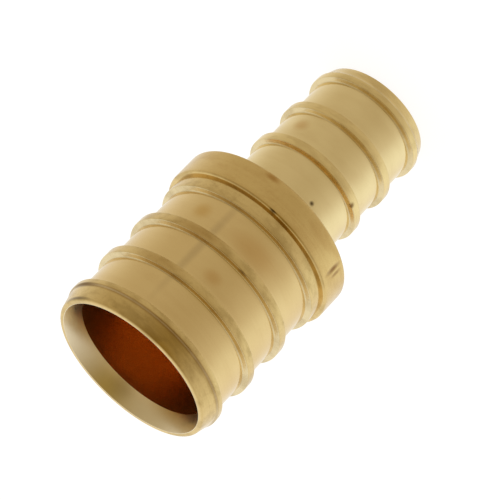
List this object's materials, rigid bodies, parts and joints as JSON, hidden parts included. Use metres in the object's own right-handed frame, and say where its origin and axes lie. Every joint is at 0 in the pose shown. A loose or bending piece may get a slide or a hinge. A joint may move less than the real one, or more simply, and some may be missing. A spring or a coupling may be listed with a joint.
{
  "type": "pex crimp reducing coupling",
  "caption": "Brass reducing coupling for crimped flexible water pipe: a larger and a smaller ribbed hollow insert joined by a plain stop collar.",
  "frame": {"origin": "centre of the small insert's rim, on the surface that the fitting stands on", "axes": "+Z along the water way, from the small rim up to the large mouth; X and Y are free, because the fitting is round"},
  "size_m": [0.018, 0.018, 0.0353],
  "materials": {
    "brass_body": "as turned, fine circumferential tool lines"
  },
  "bodies": {
    "root": {"coupling_body": "brass_body"}
  },
  "joints": []
}
